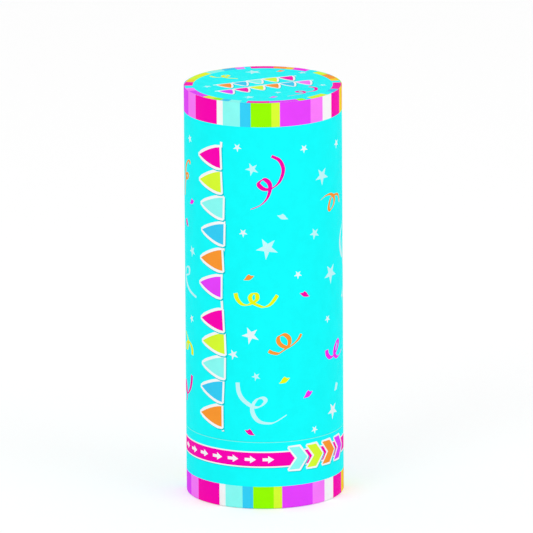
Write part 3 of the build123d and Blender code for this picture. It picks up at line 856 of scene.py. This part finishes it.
for name, node, body, wall, edge, material, slot in TURNED:
    low, high, radius = span(node)
    stand_for(lathe(name, profile_of(radius, wall, low, high, edge), material), body, node)

# Carried-over mouldings, board and metal

for node, material in (
    ("coupler_sleeve", grey_board),
    ("bearing_ring", white_plastic),
    ("base_plug", white_plastic),
    ("pusher_piston", white_plastic),
    ("latch_key", pink_plastic),
    ("latch_screw", zinc_steel),
):
    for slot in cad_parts[node].material_slots:
        slot.material = material

# Spring: round wire with closed end turns

WIRE, TURNS = 1.6, 6
CLOSED_HALF_TURNS, CLOSED_GAP = 2, 0.6  # at each end, and between the turns there
WIRE_STEPS, WIRE_SIDES = 48 * TURNS, 12  # along the wire and round it


def wire_knots(low, high):
    """The wire's height at each half turn."""
    closed = CLOSED_HALF_TURNS * [(WIRE + CLOSED_GAP) / 2]
    count = 2 * TURNS - 2 * CLOSED_HALF_TURNS
    rises = closed + count * [(high - low - WIRE - 2 * sum(closed)) / count] + closed
    return list(accumulate(rises, initial=low + WIRE / 2))


def wire_mesh(low, high, mean):
    """The points and faces of a wire that winds up at a mean radius."""
    knots = wire_knots(low, high)
    verts, polys = [], []
    for i in range(WIRE_STEPS + 1):
        turn = TURNS * i / WIRE_STEPS
        k = min(int(turn * 2), 2 * TURNS - 1)
        height = knots[k] + (knots[k + 1] - knots[k]) * (turn * 2 - k)
        angle = 2 * math.pi * turn
        out = Vector((math.cos(angle), math.sin(angle), 0.0))
        for side in range(WIRE_SIDES):
            around = 2 * math.pi * side / WIRE_SIDES
            across, rise = WIRE / 2 * math.cos(around), WIRE / 2 * math.sin(around)
            verts.append(out * (mean + across) + UP * (height + rise))
    for i, side in product(range(WIRE_STEPS), range(WIRE_SIDES)):
        a, b = i * WIRE_SIDES + side, i * WIRE_SIDES + (side + 1) % WIRE_SIDES
        polys.append([a, a + WIRE_SIDES, b + WIRE_SIDES, b])
    polys.append(list(range(WIRE_SIDES)))
    polys.append([WIRE_STEPS * WIRE_SIDES + side for side in reversed(range(WIRE_SIDES))])
    return verts, polys


low, high, radius = span("main_spring")
spring = solid("spring_wire", *wire_mesh(low, high, radius - WIRE / 2), [spring_steel], WIRE_SHARP)
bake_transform(spring)
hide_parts("main_spring")

# Paper load: wound streamers, sheaves of tissue slips and loose squares

LOAD_RADIUS = span("streamer_coil")[2]
LEAF = 0.1  # thickness of a slip or a square
chance = random.Random(41)


def paper_piece(name, node, sheets):
    """A piece of the load from closed sheets: each is rows of points, the rows behind, and a tissue."""
    verts, polys, slots = [], [], []
    for rows, behind, tissue in sheets:
        base, wide, first = len(verts), len(rows[0]), len(polys)
        count = wide * len(rows)
        verts += [p for row in rows + behind for p in row]
        for i, j in product(range(len(rows) - 1), range(wide - 1)):
            a = base + i * wide + j
            quad = [a, a + 1, a + wide + 1, a + wide]
            polys += [quad, [q + count for q in reversed(quad)]]
        last = count - wide
        rim = list(range(wide)) + list(range(2 * wide - 1, count, wide))
        rim += list(range(count - 2, last - 1, -1)) + list(range(last - wide, 0, -wide))
        for i, j in zip(rim, rim[1:] + rim[:1]):
            polys.append([base + j, base + i, base + i + count, base + j + count])
        slots += [tissue] * (len(polys) - first)
    stand_for(solid(name, verts, polys, tissues, PAPER_SHARP, slots), "load", node)


def shifted(rows, shift):
    return [[p + shift for p in row] for row in rows]


STRIPS, STRIP_TURNS, STRIP_STEPS = 3, 8, 60  # wound together, turns of each, and steps in a turn
PLY = 0.3  # thickness of a strip
CORE = 6.4  # radius of the hole in the middle
COIL_GAP = 0.6  # from the last turn's inner face to the load's radius
EDGE_WAVE, EDGE_RATE = 0.5, 0.137  # height of the slow wave in their edges, and its rate by the angle


def streamers(low, high):
    sheets = []
    pitch = (LOAD_RADIUS - COIL_GAP - CORE) / STRIP_TURNS
    for strip in range(STRIPS):
        inner, outer = [], []
        for i in range(STRIP_TURNS * STRIP_STEPS + 1):
            wound = i / STRIP_STEPS
            angle = 2 * math.pi * (wound + strip / STRIPS)
            out = Vector((math.cos(angle), math.sin(angle), 0.0))
            radius = CORE + pitch * wound
            rise = EDGE_WAVE * math.sin(angle * EDGE_RATE + strip) ** 2
            heights = (low + rise, high - EDGE_WAVE + rise)
            inner.append([out * radius + UP * z for z in heights])
            outer.append([out * (radius + PLY) + UP * z for z in heights])
        sheets.append((inner, outer, strip))
    return sheets


# Stacks of slips: middle in x, first leaf in y and width by shares of the load's radius, and leaves
SLIP_SHARES = ((0.0, -0.74, 1.18, 5), (-0.46, -0.24, 0.86, 6), (0.46, -0.24, 0.86, 6), (0.0, 0.33, 1.18, 5))
PLIES, COLUMNS = 3, 2  # slips in the depth and in the width of a leaf
LEAF_STEP, COLUMN_STEP = 1.8, 0.25  # in y, from one to the next
SLIP_GAP, SLIP_NARROWER = 0.3, 0.7  # at each side of a slip, always and at most beyond that
SLIP_HEIGHT, SLIP_TALLER = 37.5, 7.2  # of the lowest slip, and at most beyond that
SLIP_LEAN = 0.02  # at most, as a share of the height
SLIP_FAN = 0.18  # between leaves, at the top
SLIP_ROWS, SLIP_COLUMNS = 12, 4  # of faces
PHASES = 6.3  # about a full turn, in radians
BOW, BOW_Z_RATE, BOW_X_RATE = 0.4, 0.1, 0.2  # of a stack
FLUTTER, FLUTTER_UP_RATE, FLUTTER_ACROSS_RATE = 0.07, 9, 2  # of a slip


def slips(low):
    sheets = []
    for x_share, y_share, width_share, count in SLIP_SHARES:
        wide = width_share * LOAD_RADIUS / COLUMNS
        bow_phase = PHASES * chance.random()
        for leaf, ply, column in product(range(count), range(PLIES), range(COLUMNS)):
            x0 = x_share * LOAD_RADIUS + (column - (COLUMNS - 1) / 2) * wide
            y0 = y_share * LOAD_RADIUS + LEAF_STEP * (leaf + (ply - 1) / PLIES) + COLUMN_STEP * column
            half = wide / 2 - SLIP_GAP - SLIP_NARROWER * chance.random()
            tall = SLIP_HEIGHT + SLIP_TALLER * chance.random()
            lean = chance.uniform(-SLIP_LEAN, SLIP_LEAN)
            phase = PHASES * chance.random()
            tissue = chance.randrange(len(tissues))
            fan = SLIP_FAN * (leaf - (count - 1) / 2)
            rows = []
            for t in even(0.0, 1.0, SLIP_ROWS):
                row = []
                for u in even(-1.0, 1.0, SLIP_COLUMNS):
                    x, z = x0 + u * half + lean * tall * t, low + tall * t
                    bow = BOW * t * math.sin(bow_phase + BOW_Z_RATE * z + BOW_X_RATE * x)
                    flutter = FLUTTER * math.sin(phase + FLUTTER_UP_RATE * t + FLUTTER_ACROSS_RATE * u)
                    row.append(Vector((x, y0 + fan * t * t + bow + flutter, z)))
                rows.append(row)
            sheets.append((rows, shifted(rows, Vector((0.0, LEAF, 0.0))), tissue))
    return sheets


# Piles of squares by shares of the load's radius: place in x and y, and side
SQUARE_SHARES = ((-0.42, -0.3, 0.46), (0.44, -0.16, 0.42), (-0.02, 0.46, 0.48))
SQUARES, SQUARE_FACES = 8, 5  # in a pile, and along a square's side
SQUARE_INSET, SQUARE_LIFT = 0.2, 0.3  # from the pile's sides, and from its foot and top
SQUARE_SHIFT = 1.2  # at most, each way
SQUARE_TURN, SQUARE_TURN_MORE = 25, 30  # degrees from one to the next, and at most beyond that
SQUARE_CURL, TOP_CURL = 0.2, 0.9  # rise of a square's edges
CURL_PHASES = 3.1  # about half a turn, in radians


def squares(low, high):
    sheets = []
    for x_share, y_share, side_share in SQUARE_SHARES:
        half = side_share * LOAD_RADIUS / 2 - SQUARE_INSET
        for k in range(SQUARES):
            z = low + SQUARE_LIFT + (high - low - 2 * SQUARE_LIFT) * k / (SQUARES - 1)
            x0 = x_share * LOAD_RADIUS + chance.uniform(-SQUARE_SHIFT, SQUARE_SHIFT)
            y0 = y_share * LOAD_RADIUS + chance.uniform(-SQUARE_SHIFT, SQUARE_SHIFT)
            turn = SQUARE_TURN * k + SQUARE_TURN_MORE * chance.random()
            tissue = chance.randrange(len(tissues))
            curl = TOP_CURL if k == SQUARES - 1 else SQUARE_CURL
            across = CURL_PHASES * chance.random()
            rows = []
            for v in even(-half, half, SQUARE_FACES):
                row = []
                for u in even(-half, half, SQUARE_FACES):
                    bend = curl * ((u * math.cos(across) + v * math.sin(across)) / half) ** 2
                    row.append(Vector((*turned([(u, v)], x0, y0, turn)[0], z + bend)))
                rows.append(row)
            sheets.append((rows, shifted(rows, -LEAF * UP), tissue))
    return sheets


paper_piece("streamer_paper", "streamer_coil", streamers(*span("streamer_coil")[:2]))
paper_piece("slip_paper", "tissue_slips", slips(span("tissue_slips")[0]))
paper_piece("square_paper", "tissue_squares", squares(*span("tissue_squares")[:2]))

# Stage: a plain white floor, light from all round and two soft lamps

FLOOR_LEVEL, FLOOR_HALF = -0.0001, 6  # just below the foot, and half the floor's width
FLOOR_WHITE, FLOOR_SEEN, FLOOR_GLOW = 0.92, 0.55, 0.49  # for the light, and as seen directly
WORLD_LIGHT, WORLD_SEEN = 0.8, 1.0
WHITE = (1.0, 1.0, 1.0, 1.0)
LAMP_AIM = Vector((0.0, 0.0, 0.06))
# Name, place, width and power
LAMPS = (
    ("key", (-0.9, -1.3, 1.2), 1.0, 6.0),
    ("fill", (1.2, -0.9, 0.9), 1.2, 4.8),
)


def seen_directly(tree, low, high):
    """low for the rays that light the object, and high for what the camera, gloss and glass see."""
    rays = tree.nodes.new("ShaderNodeLightPath").outputs
    seen = maths(tree, "MAXIMUM", rays["Is Camera Ray"], rays["Is Glossy Ray"])
    seen = maths(tree, "MAXIMUM", seen, rays["Is Transmission Ray"])
    return ranged(tree, seen, low, high, start=0.0, end=1.0)


mat, tree, shader = start_material("studio_floor")
tree.links.new(seen_directly(tree, FLOOR_WHITE, FLOOR_SEEN), shader.inputs["Base Color"])
shader.inputs["Roughness"].default_value = 0.9
shader.inputs["Specular IOR Level"].default_value = 0.1
shader.inputs["Emission Color"].default_value = WHITE
tree.links.new(seen_directly(tree, 0.0, FLOOR_GLOW), shader.inputs["Emission Strength"])

corners = [(x, y, FLOOR_LEVEL) for x, y in block(-FLOOR_HALF, FLOOR_HALF, -FLOOR_HALF, FLOOR_HALF)]
floor_mesh = bpy.data.meshes.new("floor")
floor_mesh.from_pydata(corners, [], [[0, 1, 2, 3]])
floor_mesh.materials.append(mat)
floor = new_object("floor", floor_mesh)

world = bpy.data.worlds.new("studio")
bpy.context.scene.world = world
world.use_nodes = True
sky = world.node_tree.nodes["Background"]
sky.inputs["Color"].default_value = WHITE
world.node_tree.links.new(seen_directly(world.node_tree, WORLD_LIGHT, WORLD_SEEN), sky.inputs["Strength"])

for name, place, width, power in LAMPS:
    light = bpy.data.lights.new(name, "AREA")
    light.shape = "DISK"
    light.size = width
    light.energy = power
    lamp = new_object(name, light)
    lamp.location = place
    lamp.rotation_euler = (LAMP_AIM - Vector(place)).to_track_quat("-Z", "Y").to_euler()

# Camera: far away with a long lens, a little above the popper

ELEVATION, ROLL = 14.4, -0.36  # degrees
DISTANCE, CLIP = 4.0, 20.0  # metres
PICTURE, PIXELS_PER_MM = 533, 3.283  # pixels across the picture, and on the popper
SENSOR = 36.0
AIM_HEIGHT, AIM_RIGHT, AIM_UP = 63.5, 0.8, 6.3  # on the axis, and from there to the picture's middle

tilt = math.radians(ELEVATION)
right = Vector((1.0, 0.0, 0.0))
above = Vector((0.0, math.sin(tilt), math.cos(tilt)))
towards = Vector((0.0, -math.cos(tilt), math.sin(tilt)))
target = (UP * AIM_HEIGHT + right * AIM_RIGHT + above * AIM_UP) * MM
facing = Matrix((right, above, towards)).transposed().to_4x4()
camera_data = bpy.data.cameras.new("camera")
camera_data.sensor_width = SENSOR
camera_data.lens = SENSOR * DISTANCE / (PICTURE / PIXELS_PER_MM * MM)
camera_data.clip_end = CLIP
camera = new_object("camera", camera_data)
roll = Matrix.Rotation(math.radians(ROLL), 4, "Z")
camera.matrix_world = Matrix.Translation(target + towards * DISTANCE) @ facing @ roll
bpy.context.scene.camera = camera
bpy.context.scene.view_settings.view_transform = "Standard"
